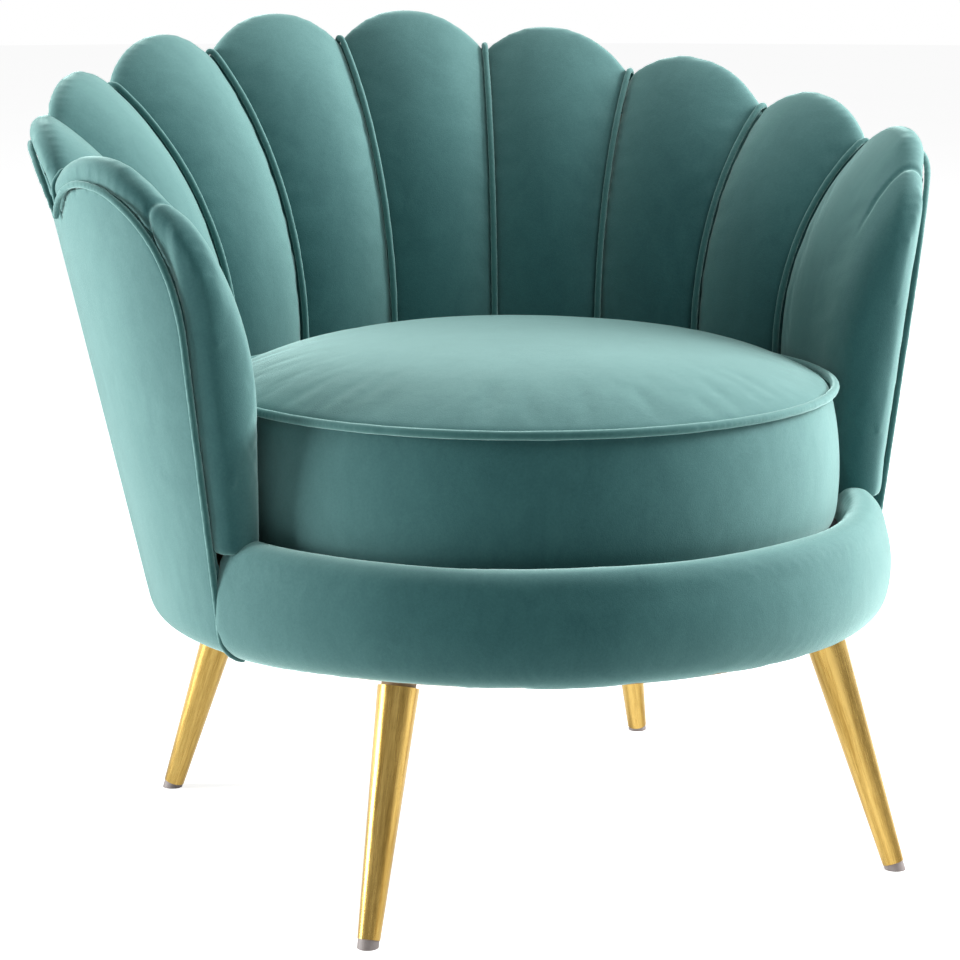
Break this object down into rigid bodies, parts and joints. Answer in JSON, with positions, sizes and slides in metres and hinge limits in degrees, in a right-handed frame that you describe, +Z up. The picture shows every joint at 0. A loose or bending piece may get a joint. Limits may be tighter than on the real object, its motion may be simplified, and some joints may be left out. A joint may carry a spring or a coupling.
{
  "type": "scallop back tub chair",
  "caption": "Round tub chair with a fluted, scallop-topped back curving into low arms, a loose round seat cushion, piped seams and splayed tapered metal legs.",
  "frame": {"origin": "on the floor, below the middle of the chair's overall width and depth", "axes": "+Z up, -Y the side the chair faces, +X to the viewer's right when facing the chair's front"},
  "size_m": [0.8232, 0.7788, 0.7249],
  "materials": {
    "velvet": "short-pile velvet",
    "piping": "velvet-covered piping",
    "leg_metal": "brushed gold colour",
    "steel": "zinc plated",
    "brass_insert": "plain",
    "plywood": "unfinished plywood",
    "webbing": "woven elastic",
    "lining_cloth": "non-woven cloth",
    "foam": "open-cell foam",
    "glide": "plain"
  },
  "bodies": {
    "chair": {"arm_front_left": "velvet", "arm_front_right": "velvet", "arm_post_left": "plywood", "arm_post_right": "plywood", "back_liner": "plywood", "back_rib_1": "plywood", "back_rib_2": "plywood", "back_rib_3": "plywood", "back_rib_4": "plywood", "back_rib_5": "plywood", "back_rib_6": "plywood", "back_rib_7": "plywood", "back_rib_8": "plywood", "back_rib_9": "plywood", "base_board": "plywood", "channel_1": "velvet", "channel_10": "velvet", "channel_2": "velvet", "channel_3": "velvet", "channel_4": "velvet", "channel_5": "velvet", "channel_6": "velvet", "channel_7": "velvet", "channel_8": "velvet", "channel_9": "velvet", "channel_welt_1": "piping", "channel_welt_2": "piping", "channel_welt_3": "piping", "channel_welt_4": "piping", "channel_welt_5": "piping", "channel_welt_6": "piping", "channel_welt_7": "piping", "channel_welt_8": "piping", "channel_welt_9": "piping", "deck_cloth": "lining_cloth", "deck_pad": "foam", "dust_cover": "lining_cloth", "front_rail_board": "plywood", "front_rail_pad": "velvet", "glides": "glide", "leg_back_left": "leg_metal", "leg_back_right": "leg_metal", "leg_front_left": "leg_metal", "leg_front_right": "leg_metal", "leg_plugs": "steel", "leg_studs": "steel", "lower_band": "plywood", "middle_band": "plywood", "outline_welt": "piping", "outside_cover": "velvet", "seat_ring": "plywood", "spacer_blocks": "plywood", "threaded_inserts": "brass_insert", "top_band": "plywood", "webbing_front_to_back": "webbing", "webbing_side_to_side": "webbing", "wedge_blocks": "plywood"},
    "cushion": {"seat_cushion": "velvet", "cushion_welt": "piping"}
  },
  "joints": [
    {"name": "cushion_lift", "type": "slide", "parent": "chair", "child": "cushion", "axis": [0, 0, 1], "range_m": [0, 0.45]}
  ]
}
